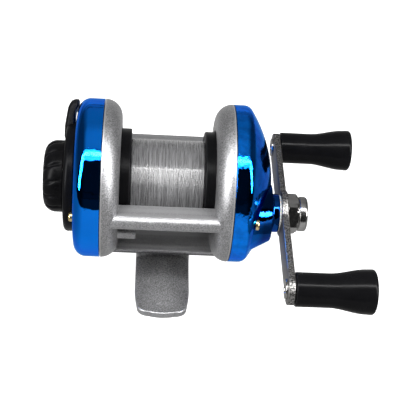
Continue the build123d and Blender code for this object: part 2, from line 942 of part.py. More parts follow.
with BuildPart() as handle_arm:
    with BuildSketch(across(arm_x, drive_y, drive_z)):
        SlotCenterToCenter(knob_spacing, 2 * arm_half_width)
        Circle(arm_hub_radius)
        with BuildLine():
            flat_y = math.sqrt(drive_shaft_radius**2 - shaft_flat**2)
            Line((-flat_y, shaft_flat), (flat_y, shaft_flat))
            ThreePointArc((flat_y, shaft_flat), (drive_shaft_radius, 0), (flat_y, -shaft_flat))
            Line((flat_y, -shaft_flat), (-flat_y, -shaft_flat))
            ThreePointArc((-flat_y, -shaft_flat), (-drive_shaft_radius, 0), (-flat_y, shaft_flat))
        make_face(mode=Mode.SUBTRACT)
        with GridLocations(knob_spacing, 1, 2, 1):
            Circle(knob_pin_radius, mode=Mode.SUBTRACT)
    extrude(amount=arm_thickness)

handle_washer = tube(hub_end_x + 0.05, 0.3, 5.2, drive_shaft_radius, drive_y, drive_z)

with BuildPart() as handle_nut:
    with BuildSketch(across(nut_x, drive_y, drive_z)):
        RegularPolygon(nut_half_flats, 6, major_radius=False)
    extrude(amount=nut_hex_height)
    # chamfered corners: the hexagon is turned down to a cone at both ends
    with BuildSketch(lengthwise(drive_y, drive_z)):
        with BuildLine():
            corner = nut_half_flats / math.cos(math.pi / 6)
            Polyline(
                (nut_x, 0),
                (nut_x, corner - 0.5),
                (nut_x + 0.3, corner),
                (nut_x + nut_hex_height - 0.5, corner),
                (nut_x + nut_hex_height, nut_half_flats - 0.1),
                (nut_x + nut_hex_height, 0),
                close=True,
            )
        make_face()
    revolve(axis=axle(drive_y, drive_z), mode=Mode.INTERSECT)
    with BuildSketch(across(nut_x + nut_hex_height, drive_y, drive_z)):
        Circle(nut_collar_radius)
    extrude(amount=nut_collar_height)
    chamfer(handle_nut.edges().sort_by(Axis.X)[-1:], 0.6)
    with BuildSketch(across(nut_x, drive_y, drive_z)):
        Circle(drive_shaft_radius)
    extrude(amount=nut_hex_height + nut_collar_height, mode=Mode.SUBTRACT)

knobs = {}
knob_pins = {}
for place, centre_y in knob_centres.items():
    with BuildPart() as knob:
        with BuildSketch(lengthwise(centre_y, drive_z)):
            with BuildLine():
                Polyline(
                    (knob_start_x + 0.3, knob_neck_radius),
                    (knob_start_x, knob_neck_radius - 0.3),
                    (knob_start_x, knob_pin_radius + running_gap),
                    (51.2, knob_pin_radius + running_gap),
                    (51.2, 0),
                    (knob_end_x, 0),
                )
                ThreePointArc(
                    (knob_end_x, 0),
                    (knob_end_x - 0.15, 2.7),
                    (knob_end_x - 0.6, knob_end_radius - 0.6),
                )
                ThreePointArc(
                    (knob_end_x - 0.6, knob_end_radius - 0.6),
                    (knob_end_x - 0.85, knob_end_radius - 0.15),
                    (knob_end_x - 1.4, knob_end_radius),
                )
                Line((knob_end_x - 1.4, knob_end_radius), (knob_end_x - 2.4, knob_end_radius - 0.1))
                Spline(
                    (knob_end_x - 2.4, knob_end_radius - 0.1),
                    (48.6, knob_neck_radius + 0.4),
                    (44.5, knob_neck_radius),
                    tangents=((-1, -0.25), (-1, 0)),
                )
                Line((44.5, knob_neck_radius), (knob_start_x + 0.3, knob_neck_radius))
            make_face()
        revolve(axis=axle(centre_y, drive_z))
    knobs[place] = knob

    with BuildPart() as pin:
        with BuildSketch(across(arm_x - 0.55, centre_y, drive_z)):
            Circle(knob_pin_head)
        extrude(amount=0.55)
        fillet(pin.edges().sort_by(Axis.X)[:1], 0.3)
        with BuildSketch(across(arm_x, centre_y, drive_z)):
            Circle(knob_pin_radius)
        extrude(amount=51.0 - arm_x)
        with BuildSketch(across(arm_x - 0.55, centre_y, drive_z)):
            Circle(0.9)
        extrude(amount=2.0, mode=Mode.SUBTRACT)
    knob_pins[place] = pin

# ---------------------------------------------------------------- writing the pieces

pieces = {
    "frame": frame,
    "reel_foot": reel_foot,
    "foot_rivets": foot_rivets,
    "left_cover": left_cover,
    "left_cover_screws": left_cover_screws,
    "left_bushing": left_bushing,
    "lever_ring": lever_ring,
    "tension_pad": tension_pad,
    "tension_spring": tension_spring,
    "tension_knob": tension_knob,
    "click_lever": click_lever,
    "click_pawl": click_pawl,
    "click_gear": click_gear,
    "spool": spool,
    "spool_shaft": spool_shaft,
    "line_winding": line_winding,
    "pinion": pinion,
    "gear_plate": gear_plate,
    "gear_plate_screws": gear_plate_screws,
    "right_bushing": right_bushing,
    "inner_drive_bushing": inner_drive_bushing,
    "outer_drive_bushing": outer_drive_bushing,
    "drive_shaft": drive_shaft,
    "drive_gear": drive_gear,
    "ratchet_wheel": ratchet_wheel,
    "anti_reverse_pawl": anti_reverse_pawl,
    "pawl_pin": pawl_pin,
    "drive_shaft_clip": drive_shaft_clip,
    "right_cover": right_cover,
    "right_cover_screws": right_cover_screws,
    "handle_washer": handle_washer,
    "handle_arm": handle_arm,
    "handle_nut": handle_nut,
    "rear_knob": knobs["rear"],
    "front_knob": knobs["front"],
    "rear_knob_pin": knob_pins["rear"],
    "front_knob_pin": knob_pins["front"],
}

os.makedirs("parts", exist_ok=True)
for name, piece in pieces.items():
    piece.part.label = name
    export_step(piece.part, f"parts/{name}.step")
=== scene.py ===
import json
import math
import random

import bmesh
import bpy
from mathutils import Matrix, Vector


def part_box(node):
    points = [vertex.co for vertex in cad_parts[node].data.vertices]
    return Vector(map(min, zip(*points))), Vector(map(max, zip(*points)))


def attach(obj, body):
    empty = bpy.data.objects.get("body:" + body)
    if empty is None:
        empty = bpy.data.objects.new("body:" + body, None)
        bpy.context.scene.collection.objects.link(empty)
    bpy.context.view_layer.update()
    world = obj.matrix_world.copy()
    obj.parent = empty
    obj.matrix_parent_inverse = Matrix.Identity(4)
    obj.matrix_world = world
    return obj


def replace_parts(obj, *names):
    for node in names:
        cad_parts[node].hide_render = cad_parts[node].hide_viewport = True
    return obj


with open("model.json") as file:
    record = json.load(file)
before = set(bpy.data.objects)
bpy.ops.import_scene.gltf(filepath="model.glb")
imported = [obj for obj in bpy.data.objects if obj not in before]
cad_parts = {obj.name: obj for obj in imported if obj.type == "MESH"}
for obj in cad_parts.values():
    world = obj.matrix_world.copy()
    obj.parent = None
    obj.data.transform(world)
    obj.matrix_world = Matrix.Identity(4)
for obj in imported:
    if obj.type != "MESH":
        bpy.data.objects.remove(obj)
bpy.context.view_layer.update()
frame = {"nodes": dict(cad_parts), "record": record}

# ---------------------------------------------------------------- sizes, in millimetres

MM = 0.001


def limits(node):
    """Lowest and highest corner of a CAD node, in millimetres."""
    low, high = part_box(node)
    return low / MM, high / MM


spool_low, spool_high = limits("spool")
shaft_low, shaft_high = limits("drive_shaft")
left_low, _ = limits("left_cover")
right_low, right_high = limits("right_cover")
_, foot_high = limits("reel_foot")
tension_low, tension_high = limits("tension_knob")
arm_low, arm_high = limits("handle_arm")
nut_low, nut_high = limits("handle_nut")
line_low, line_high = limits("line_winding")

AXIS_Z = (spool_low.z + spool_high.z) / 2
DRIVE_Y = (shaft_low.y + shaft_high.y) / 2
DRIVE_Z = (shaft_low.z + shaft_high.z) / 2 - AXIS_Z
SIDE_RADIUS = (right_high.z - right_low.z) / 2
SEAM_X = right_low.x
SPOOL_RADIUS = (spool_high.z - spool_low.z) / 2
SPOOL_HALF_WIDTH = spool_high.x
LINE_RADIUS = (line_high.z - line_low.z) / 2
LINE_HALF_WIDTH = line_high.x
ARBOR_RADIUS = 5.5

HOOP_FACE_X = 13.2
HOOP_ROUND = 4.8
HOOP_BORE = 14.75
BAR_REACH = 15.8
COVER_WALL = 1.4
LEFT_FACE_X = -25.6
LEFT_CORNER = 4.4
DOME_RADIUS = 38.5
DOME_APEX_X = 29.85
BOSS_ROOT = 10.7
BOSS_RIM = 7.9
BOSS_BASE_X = 24.2
BOSS_FACE_X = 29.4
BOSS_EDGE = 0.8
HUB_RADIUS = 5.4
BUSHING_HOLE = 4.15

# ---------------------------------------------------------------- outlines


def clamped(value):
    """The value held between 0 and 1."""
    return min(1.0, max(0.0, value))


def eased(value):
    """0 to 1 with a level start and end."""
    share = clamped(value)
    return share * share * (3 - 2 * share)


def polar(radius, degrees, y=0.0, z=0.0):
    """A point on a circle around (y, z)."""
    angle = math.radians(degrees)
    return (y + radius * math.cos(angle), z + radius * math.sin(angle))


def arc(centre, radius, start, end, steps):
    """Points on an arc, angles in degrees."""
    return [
        polar(radius, start + (end - start) * k / steps, *centre) for k in range(steps + 1)
    ]


def rounded(points, radii, steps=6):
    """Closed outline with each corner turned into an arc. A radius of 0 keeps the corner sharp.

    A point just before and after each arc holds the shading of the flats beside it.
    """
    tiny, nearly_straight = 1e-6, math.radians(88)
    share_of_side, longest_hold, hold_share = 0.48, 0.06, 0.3
    made = []
    count = len(points)
    for i, corner in enumerate(points):
        p = Vector(corner)
        before = Vector(points[i - 1]) - p
        after = Vector(points[(i + 1) % count]) - p
        radius = radii[i] if isinstance(radii, list) else radii
        if radius <= 0 or before.length < tiny or after.length < tiny:
            made.append(p)
            continue
        a, b = before.normalized(), after.normalized()
        half = a.angle(b) / 2
        if half > nearly_straight:
            made.append(p)
            continue
        shortest = min(before.length, after.length)
        run = min(radius / math.tan(half), share_of_side * shortest)
        centre = p + (a + b).normalized() * (run * math.tan(half) / math.sin(half))
        start, end = p + a * run - centre, p + b * run - centre
        turn = start.angle_signed(end)
        hold = min(longest_hold, hold_share * run)
        made.append(p + a * (run + hold))
        for k in range(steps + 1):
            made.append(centre + Matrix.Rotation(-turn * k / steps, 2) @ start)
        made.append(p + b * (run + hold))
    return [(q.x, q.y) for q in made]


# ---------------------------------------------------------------- meshes


def as_object(bm, name="tool"):
    """The mesh as an object. One named tool is a side of a union or a cut, and doesn't stay."""
    bmesh.ops.remove_doubles(bm, verts=bm.verts, dist=1e-7)
    bmesh.ops.recalc_face_normals(bm, faces=bm.faces)
    mesh = bpy.data.meshes.new(name)
    bm.to_mesh(mesh)
    bm.free()
    obj = bpy.data.objects.new(name, mesh)
    bpy.context.scene.collection.objects.link(obj)
    return obj


def finish_mesh(name, bm, body, slot_name, sharp, finish=None):
    """A piece of the reel. Finish names another material than the slot's own."""
    obj = as_object(bm, name)
    obj.data.shade_smooth()
    obj.data.set_sharp_from_angle(angle=math.radians(sharp))
    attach(obj, body)
    obj.data.materials.append(materials[finish or slot_name])
    return obj


def skin(bm, rings, closed_loop=True):
    """Faces between rings of the same number of points. A ring of one point is a pole."""
    made = [[bm.verts.new(Vector(p) * MM) for p in ring] for ring in rings]
    for one, two in zip(made, made[1:] + made[:1] if closed_loop else made[1:]):
        count = max(len(one), len(two))
        for i in range(count):
            j = (i + 1) % count
            corners = [
                one[i % len(one)], one[j % len(one)], two[j % len(two)], two[i % len(two)]
            ]
            unique = list(dict.fromkeys(corners))
            if len(unique) > 2:
                bm.faces.new(unique)
    return made


def capped(bm, rings):
    """A skin through the rings, with a face over each end."""
    made = skin(bm, rings, closed_loop=False)
    bm.faces.new(list(reversed(made[0])))
    bm.faces.new(made[-1])


def lathe(bm, outline, segments, y=0.0, z=0.0, wobble=None):
    """Turns a closed outline of (x, radius) around an axle parallel to X.

    y and z are the axle's place from the spool's. wobble(x, radius, angle) moves each point.
    """
    on_axle = 1e-6
    rings = []
    for x, radius in outline:
        if abs(radius) < on_axle:
            rings.append([(x, y, AXIS_Z + z)])
            continue
        ring = []
        for k in range(segments):
            angle = 2 * math.pi * k / segments
            px, pr = wobble(x, radius, angle) if wobble else (x, radius)
            ring.append((px, y + pr * math.cos(angle), AXIS_Z + z + pr * math.sin(angle)))
        rings.append(ring)
    open_ends = abs(outline[0][1]) < on_axle and abs(outline[-1][1]) < on_axle
    skin(bm, rings, closed_loop=not open_ends)


def turned(
    name, body, slot_name, outline, segments, y=0.0, z=0.0, wobble=None, sharp=38.0, finish=None
):
    """A piece of the reel that is one lathed solid."""
    bm = bmesh.new()
    lathe(bm, outline, segments, y, z, wobble)
    return finish_mesh(name, bm, body, slot_name, sharp, finish)


def prism(bm, outline, low, high, place, edge=0.0, steps=4):
    """Extrudes a closed outline from low to high, with rims rounded by edge.

    place(u, v, w) gives the point for (u, v) on the outline at level w.
    """
    centre = sum((Vector(p) for p in outline), Vector((0, 0))) / len(outline)

    def inset(amount):
        """The outline moved inwards."""
        moved = []
        count = len(outline)
        for i in range(count):
            before = Vector(outline[i - 1])
            here = Vector(outline[i])
            after = Vector(outline[(i + 1) % count])
            along = (after - here).normalized() + (here - before).normalized()
            normal = Vector((-along.y, along.x)).normalized()
            if normal.dot(centre - here) < 0:
                normal = -normal
            moved.append(here + normal * amount)
        return moved

    levels = [(0.0, low), (0.0, high)]
    if edge > 0:
        turns = [math.pi / 2 * k / steps for k in range(steps + 1)]
        levels = [(edge * (1 - math.sin(t)), low + edge * (1 - math.cos(t))) for t in turns]
        levels += [(edge * (1 - math.cos(t)), high - edge * (1 - math.sin(t))) for t in turns]
    capped(bm, [[place(p.x, p.y, level) for p in inset(amount)] for amount, level in levels])


def combine(base, tools, operation="UNION"):
    """Joins solids into one skin, or cuts tools out of the base, and returns a bmesh."""
    for tool in tools:
        modifier = base.modifiers.new("join", "BOOLEAN")
        modifier.operation = operation
        modifier.solver = "EXACT"
        modifier.object = tool
    bm = bmesh.new()
    bm.from_object(base, bpy.context.evaluated_depsgraph_get())
    for obj in [base, *tools]:
        mesh = obj.data
        bpy.data.objects.remove(obj)
        bpy.data.meshes.remove(mesh)
    return bm


# ---------------------------------------------------------------- materials


class Nodes:
    """Short calls that add nodes to one tree. Most return the socket that has the result."""

    def __init__(self, tree):
        self.tree = tree

    def put(self, socket, value):
        """Links another socket, or sets a constant. A colour of three numbers is opaque."""
        if isinstance(value, bpy.types.NodeSocket):
            self.tree.links.new(value, socket)
        elif socket.type == "RGBA" and len(value) == 3:
            socket.default_value = (*value, 1.0)
        else:
            socket.default_value = value

    def node(self, kind, values=(), **settings):
        """A new node, with settings such as operation, and values by the input's name or number."""
        made = self.tree.nodes.new(kind)
        for key, value in settings.items():
            setattr(made, key, value)
        for key, value in dict(values).items():
            self.put(made.inputs[key], value)
        return made

    def math(self, operation, *terms):
        made = self.node("ShaderNodeMath", enumerate(terms), operation=operation)
        return made.outputs["Value"]

    def vector_math(self, operation, result, *terms):
        made = self.node("ShaderNodeVectorMath", enumerate(terms), operation=operation)
        return made.outputs[result]

    def ramp(self, source, stops):
        """Stops are pairs of a place and a colour."""
        made = self.node("ShaderNodeValToRGB", {"Fac": source})
        elements = made.color_ramp.elements
        while len(elements) < len(stops):
            elements.new(0.5)
        for element, (place, colour) in zip(elements, stops):
            element.position = place
            element.color = (*colour, 1.0)
        return made.outputs["Color"]

    def span(self, source, low, high, start=0.0, end=1.0):
        """Maps start..end of the source to low..high."""
        values = {"From Min": start, "From Max": end, "To Min": low, "To Max": high}
        made = self.node("ShaderNodeMapRange", {"Value": source, **values})
        return made.outputs["Result"]


class Shader(Nodes):
    """One material. The scale of its patterns is per metre: 1000 makes features of a millimetre."""

    def __init__(self, name):
        self.material = bpy.data.materials.new(name)
        self.material.use_nodes = True
        super().__init__(self.material.node_tree)
        self.coords = self.node("ShaderNodeTexCoord").outputs["Object"]

    def stretch(self, scale):
        made = self.node("ShaderNodeMapping", {"Vector": self.coords, "Scale": scale})
        return made.outputs["Vector"]

    def noise(self, scale, detail=3.0, vector=None, roughness=0.5):
        values = {"Scale": scale, "Detail": detail, "Roughness": roughness}
        made = self.node("ShaderNodeTexNoise", {"Vector": vector or self.coords, **values})
        return made.outputs["Fac"]

    def bump(self, height, strength, distance, onto=None):
        values = {"Height": height, "Strength": strength, "Distance": distance}
        if onto:
            values["Normal"] = onto
        return self.node("ShaderNodeBump", values).outputs["Normal"]

    def mix(self, fraction, one, two, blend="MIX"):
        values = {"Factor": fraction, "A": one, "B": two}
        made = self.node("ShaderNodeMix", values, data_type="RGBA", blend_type=blend)
        return made.outputs["Result"]

    def wear_and_shade(self, low, high):
        """Low at a pointiness of 0 and high at 1. Flat skin has 0.5, and convex edges more."""
        # This pointiness mask serves edge wear and also painted shade in hollows.
        geometry = self.node("ShaderNodeNewGeometry")
        return self.span(geometry.outputs["Pointiness"], low, high)

    def finished(self, **values):
        """Sets the surface's inputs, with _ for a space in their names."""
        surface = self.tree.nodes["Principled BSDF"]
        for key, value in values.items():
            self.put(surface.inputs[key.replace("_", " ")], value)
        return self.material


EDGE_WEAR = (-9.2, 8.8)
# Painted shade: pointiness range that darkens concave hollows and corners, where shade falls.
HOLLOW_PAINTED_SHADE = (9.6, -10.0)


def cast_silver():
    """Blasted casting: fine grain, paler along its edges, and darker in its hollows with painted
    shade.
    """
    s = Shader("cast_silver")
    grain = s.noise(2900, 2.0, roughness=0.6)
    base = s.ramp(s.noise(160, 4.0), [(0.3, (0.335, 0.335, 0.341)), (0.7, (0.392, 0.392, 0.399))])
    speck = s.ramp(grain, [(0.36, (0.30, 0.30, 0.31)), (0.64, (1.0, 1.0, 1.0))])
    tinted = s.mix(0.8, base, speck, "MULTIPLY")
    edged = s.mix(s.wear_and_shade(*EDGE_WEAR), tinted, (0.42, 0.42, 0.43))
    return s.finished(
        Metallic=0.9,
        # Painted shade: the hollows are mixed towards dark grey.
        Base_Color=s.mix(s.wear_and_shade(*HOLLOW_PAINTED_SHADE), edged, (0.10, 0.10, 0.105)),
        Roughness=s.span(grain, 0.37, 0.51),
        Normal=s.bump(grain, 0.55, 0.00012, s.bump(s.noise(1100, 3.0), 0.22, 0.00014)),
    )


def blue_chrome(name, peel, dull, patches, boss=False):
    """Blue plating over a moulding, in patches of two tones, with a painted dark reflection on the
    boss if asked for.

    Peel is its fine ripple, dull the darker tone, and patches the scale of the patches.
    """
    boss_inside, boss_outside = 9.2 * MM, 11.2 * MM
    s = Shader(name)
    tone = s.ramp(s.noise(patches, 3.0), [(0.35, dull), (0.65, (0.003, 0.235, 0.98))])
    dust = s.ramp(s.noise(2600, 2.0), [(0.70, (0.0, 0.0, 0.0)), (0.80, (1.0, 1.0, 1.0))])
    # Painted reflection: a deep navy tone is mixed into the base colour on the boss, around the
    # drive axle.
    if boss:
        axle = (0.0, DRIVE_Y * MM, (AXIS_Z + DRIVE_Z) * MM)
        offset = s.vector_math("SUBTRACT", "Vector", s.coords, axle)
        flat = s.vector_math("MULTIPLY", "Vector", offset, (0.0, 1.0, 1.0))
        distance = s.vector_math("LENGTH", "Value", flat)
        boss_painted_reflection = s.span(distance, 0.9, 0.0, boss_inside, boss_outside)
        tone = s.mix(boss_painted_reflection, tone, (0.001, 0.032, 0.17))
    ripple = s.bump(s.noise(900, 2.0), peel / 2, 0.00007)
    return s.finished(
        Metallic=1.0,
        Coat_Weight=0.10,
        Coat_Roughness=0.015,
        Coat_IOR=1.5,
        Specular_Tint=(0.10, 0.45, 0.85),
        Base_Color=tone,
        Roughness=s.span(dust, 0.03, 0.2),
        Normal=s.bump(s.noise(170, 2.0), 0.20, 0.0008, ripple),
    )


def black(name, colour, roughness, coat=0.0, grain=0.3):
    """Black plastic, paler where its edges are rubbed."""
    faded, rubbed, uneven = 0.75, 3.0, 0.06
    s = Shader(name)
    cloud = s.noise(240, 3.0)
    skin_tone = s.ramp(cloud, [(0.3, tuple(faded * c for c in colour)), (0.75, colour)])
    waves = s.bump(s.noise(420, 2.0), 0.12, 0.00015)
    return s.finished(
        Coat_Weight=coat,
        Coat_Roughness=0.12,
        Specular_IOR_Level=0.04,
        Base_Color=s.mix(s.wear_and_shade(*EDGE_WEAR), skin_tone, tuple(rubbed * c for c in colour)),
        Roughness=s.span(cloud, roughness - uneven, roughness + uneven, 0.3, 0.7),
        Normal=s.bump(s.noise(3800, 3.0), grain, 0.00004, waves),
    )


def metal(name, dark, light, low, high, grain=0.15):
    """Bare machined metal between two tones and two levels of roughness."""
    s = Shader(name)
    marks = s.noise(4200, 4.0, s.stretch((0.9, 0.9, 0.9)))
    return s.finished(
        Metallic=1.0,
        Base_Color=s.ramp(s.noise(300, 3.0), [(0.3, dark), (0.7, light)]),
        Roughness=s.span(marks, low, high, 0.3, 0.7),
        Normal=s.bump(marks, grain, 0.00003),
    )


def nickel_steel():
    """Stamped plate: faces are satin, sheared edges are coarse."""
    s = Shader("nickel_steel")
    normal = s.node("ShaderNodeTexCoord").outputs["Normal"]
    across = s.node("ShaderNodeSeparateXYZ", {"Vector": normal}).outputs["X"]
    edge = s.span(s.math("ABSOLUTE", across), 1.0, 0.0, 0.25, 0.6)
    coarse = s.noise(2300, 2.0, roughness=0.7)
    fine = s.noise(2200, 4.0)
    face = s.ramp(fine, [(0.3, (0.29, 0.285, 0.28)), (0.7, (0.37, 0.36, 0.35))])
    cut = s.ramp(coarse, [(0.40, (0.04, 0.04, 0.04)), (0.64, (0.40, 0.39, 0.38))])
    torn = s.math("MULTIPLY", coarse, edge)
    return s.finished(
        Metallic=1.0,
        Specular_Tint=(0.42, 0.42, 0.42),
        Base_Color=s.mix(edge, face, cut),
        Roughness=s.span(fine, 0.34, 0.46, 0.3, 0.7),
        Normal=s.bump(torn, 0.8, 0.00012, s.bump(fine, 0.10, 0.00004)),
    )


def nickel_plate():
    """Smooth nickel on the nut and the knob pins, with faint turning marks."""
    s = Shader("nickel_plate")
    marks = s.noise(2600, 3.0, s.stretch((6.0, 0.5, 0.5)))
    tones = [(0.3, (0.32, 0.315, 0.31)), (0.7, (0.44, 0.435, 0.43))]
    return s.finished(
        Metallic=1.0,
        Specular_Tint=(0.6, 0.6, 0.6),
        Base_Color=s.ramp(s.noise(420, 3.0), tones),
        Roughness=s.span(marks, 0.14, 0.24, 0.3, 0.7),
        Normal=s.bump(marks, 0.12, 0.00003),
    )


def clear_line():
    """Nylon line, dark between its highlights, with tones that run along each turn."""
    s = Shader("clear_line")
    along = s.noise(900, 3.0, s.stretch((4.0, 0.12, 0.12)))
    return s.finished(
        IOR=1.53,
        Specular_IOR_Level=0.5,
        Coat_Weight=0.8,
        Coat_Roughness=0.08,
        Coat_IOR=1.5,
        Base_Color=s.ramp(along, [(0.3, (0.04, 0.04, 0.041)), (0.7, (0.15, 0.15, 0.154))]),
        Roughness=s.span(along, 0.20, 0.34, 0.3, 0.7),
    )


def nylon():
    """Moulded nylon of the inner pieces."""
    s = Shader("nylon")
    cloud = s.noise(500, 3.0)
    return s.finished(
        Subsurface_Weight=0.1,
        Subsurface_Scale=0.0006,
        Base_Color=s.ramp(cloud, [(0.3, (0.70, 0.68, 0.60)), (0.7, (0.82, 0.80, 0.73))]),
        Roughness=s.span(cloud, 0.38, 0.5),
        Normal=s.bump(s.noise(2600, 2.0), 0.2, 0.00004),
    )


def pale_floor():
    """Almost white by its own light, so that only soft shadows show."""
    s = Shader("pale_floor")
    return s.finished(
        Emission_Strength=0.93,
        Emission_Color=(1.0, 1.0, 1.0),
        Base_Color=s.ramp(s.noise(3, 2.0), [(0.3, (0.29, 0.29, 0.29)), (0.7, (0.31, 0.31, 0.31))]),
        Roughness=s.span(s.noise(40, 3.0), 0.7, 0.8),
    )


materials = {
    "cast_silver": cast_silver(),
    "blue_chrome": blue_chrome("blue_chrome", 0.20, (0.002, 0.205, 0.88), 90),
    # The right cover's chrome carries the painted dark reflection on its boss.
    "rippled_chrome": blue_chrome("rippled_chrome", 1.4, (0.002, 0.165, 0.72), 420, boss=True),
    "black_plastic": black("black_plastic", (0.0030, 0.0030, 0.0034), 0.34),
    "black_gloss": black("black_gloss", (0.003, 0.003, 0.0034), 0.22, coat=0.03, grain=0.10),
    "clear_line": clear_line(),
    "nickel_steel": nickel_steel(),
    "nickel_plate": nickel_plate(),
    "steel": metal("steel", (0.50, 0.50, 0.51), (0.62, 0.62, 0.63), 0.18, 0.32),
    "brass": metal("brass", (0.62, 0.47, 0.20), (0.80, 0.66, 0.34), 0.18, 0.34),
    "bronze": metal("bronze", (0.36, 0.22, 0.10), (0.55, 0.36, 0.18), 0.36, 0.52, 0.3),
    "nylon": nylon(),
}

slots = {part["node"]: part["material_slot"] for part in frame["record"]["subparts"]}
for node_name, node_object in frame["nodes"].items():
    node_object.data.materials.clear()
    node_object.data.materials.append(materials[slots[node_name]])

# ---------------------------------------------------------------- frame


def hoop(sign):
    """One side ring of the casting. The right one is stepped for the gear plate."""
    groove_width, groove_depth, lip_radius = 0.42, 1.9, 18.6
    step_x, step_radius = 16.2, 17.2
    bore_x, bore_round, face_radii = 15.0, 0.35, (16.6, 17.2)
    groove_x, groove_radius = SEAM_X - groove_width, SIDE_RADIUS - groove_depth
    outline = [(groove_x, SIDE_RADIUS), (groove_x, groove_radius)]
    outline += [(SEAM_X, groove_radius), (SEAM_X, lip_radius)]
    if sign > 0:
        outline += [(SEAM_X, step_radius), (step_x, step_radius), (step_x, HOOP_BORE)]
    else:
        outline += [(SEAM_X, HOOP_BORE)]
    bore_corner = [(bore_x, HOOP_BORE), (HOOP_FACE_X, HOOP_BORE), (HOOP_FACE_X, face_radii[0])]
    outline += rounded(bore_corner, [0, bore_round, 0], 4)
    outline += [(HOOP_FACE_X, face_radii[1])]
    outline += arc((HOOP_FACE_X + HOOP_ROUND, SIDE_RADIUS - HOOP_ROUND), HOOP_ROUND, 180, 90, 22)
    bm = bmesh.new()
    lathe(bm, [(sign * x, r) for x, r in outline], 192)
    return as_object(bm)


def bar(inner_y, outer_y, high_z, low_z, radii):
    """A bar between the hoops. Its section's limits are given from the spool axis."""
    corners = [(inner_y, high_z), (outer_y, high_z), (outer_y, low_z), (inner_y, low_z)]
    section = rounded(corners, radii, 7)
    bm = bmesh.new()
    ends = [[(x, y, AXIS_Z + z) for y, z in section] for x in (-BAR_REACH, BAR_REACH)]
    skin(bm, ends, closed_loop=False)
    bmesh.ops.holes_fill(bm, edges=[e for e in bm.edges if e.is_boundary])
    return as_object(bm)


def cast_tab():
    """Small lug on the left hoop, under the thumb rest."""
    near_y, far_y, low_z, high_z = -17.2, -15.2, -7.4, -4.8
    root_x, end_x = -HOOP_FACE_X - 0.6, -8.2
    section = [(near_y, low_z), (far_y, low_z), (far_y, high_z), (near_y, high_z)]
    bm = bmesh.new()
    prism(bm, rounded(section, 0.5, 4), root_x, end_x, lambda y, z, x: (x, y, AXIS_Z + z), 0.25)
    return as_object(bm)


def frame_casting():
    """Two hoops joined by the thumb rest, the front pillar and the bottom plate."""
    thumb_rest = bar(-15.0, -21.5, 3.6, -0.8, radii=[0.35, 2.19, 2.19, 0.35])
    front_pillar = bar(15.3, 19.4, 2.2, -1.8, radii=[0.4, 1.9, 1.9, 0.4])
    bottom_plate = bar(-8.9, 8.9, -19.5, -20.9, radii=0.3)
    parts = [hoop(1), thumb_rest, front_pillar, bottom_plate, cast_tab()]
    joined = combine(hoop(-1), parts)
    return finish_mesh("frame_casting", joined, "frame", "cast_silver", 30.0)


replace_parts(frame_casting(), "frame")

# ---------------------------------------------------------------- foot


def foot_loop(half_length, half_width, corner):
    """The foot's outline as (x, y) points, anticlockwise from the middle of its right edge."""
    tip_half_width, taper_length = 6.4, 10.0
    stations, corner_steps, end_steps = 46, 8, 5
    corner_depth, end_bow = 0.82, 0.18

    def half_span(y):
        """Half the foot's width, which tapers towards the tip."""
        part = max(0.0, (abs(y) - half_length + taper_length) / taper_length)
        return half_width - (half_width - tip_half_width) * part**1.6

    quarter = []
    for k in range(stations + 1):
        y = (half_length - corner) * k / stations
        quarter.append((half_span(y), y))
    inner = half_span(half_length - corner) - corner
    for k in range(1, corner_steps + 1):
        turn = math.pi / 2 * k / corner_steps
        y = half_length - corner + corner_depth * corner * math.sin(turn)
        quarter.append((inner + corner * math.cos(turn), y))
    for k in range(1, end_steps + 1):
        share = 1 - k / end_steps
        quarter.append((inner * share, half_length - end_bow * corner * share**2))
    loop = quarter + [(-x, y) for x, y in reversed(quarter[:-1])]
    loop += [(-x, -y) for x, y in quarter[1:]] + [(x, -y) for x, y in reversed(quarter[1:-1])]
    return loop


def reel_foot():
    """Pressed foot: a crowned tongue that sweeps up into the saddle under the bottom plate."""
    half_length, half_width, top = foot_high.y, foot_high.x, foot_high.z
    edge_height, crown, crown_lost_at_tip = 1.1, 1.5, 0.85
    tip_lift, tip_start, tip_run = 0.8, 10.0, 9.0
    saddle, lip, sweep_start, sweep_height = 6.2, 7.0, 15.5, 0.9
    corner, spine_end = 3.2, 4.0
    lower_edge, rim, rim_steps, top_steps = 0.25, 0.4, 5, 14
    to_spine = 99
    loop = foot_loop(half_length, half_width, corner)

    def crest(x, y):
        """Height of the upper skin."""
        across = x / half_width
        near_tip = eased((abs(y) - half_length + tip_start) / tip_run)
        arch = crown * (1 - crown_lost_at_tip * near_tip) * (1 - across * across)
        tongue = edge_height + tip_lift * near_tip + arch
        begin = sweep_start - across * across
        sweep = sweep_height * clamped((begin - abs(y)) / (begin - lip)) ** 2
        step = eased((lip - abs(y)) / (lip - saddle))
        return tongue + sweep + (top - tongue - sweep) * step

    def inset(x, y, amount):
        """The outline's point moved towards the foot's spine."""
        reach = half_length - spine_end
        middle = Vector((0, max(-reach, min(reach, y))))
        away = Vector((x, y)) - middle
        return middle + away * max(0.0, 1 - amount / max(away.length, 1e-6))

    rings = [
        [(0.0, inset(x, y, to_spine).y, 0.0) for x, y in loop],
        [(*inset(x, y, lower_edge), 0.0) for x, y in loop],
        [(x, y, lower_edge) for x, y in loop],
    ]
    for k in range(rim_steps + 1):
        turn = math.pi / 2 * k / rim_steps
        ring = []
        for x, y in loop:
            p = inset(x, y, rim * (1 - math.cos(turn)))
            ring.append((p.x, p.y, crest(p.x, p.y) - rim * (1 - math.sin(turn))))
        rings.append(ring)
    for k in range(1, top_steps + 1):
        ring = []
        for x, y in loop:
            p = inset(x, y, rim).lerp(inset(x, y, to_spine), k / top_steps)
            ring.append((p.x, p.y, crest(p.x, p.y)))
        rings.append(ring)
    bm = bmesh.new()
    skin(bm, rings, closed_loop=False)
    bmesh.ops.remove_doubles(bm, verts=bm.verts, dist=1e-6)
    bmesh.ops.dissolve_degenerate(bm, dist=1e-6, edges=bm.edges)
    return finish_mesh("foot_pressing", bm, "frame", "cast_silver", 50.0)


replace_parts(reel_foot(), "reel_foot")

# ---------------------------------------------------------------- covers


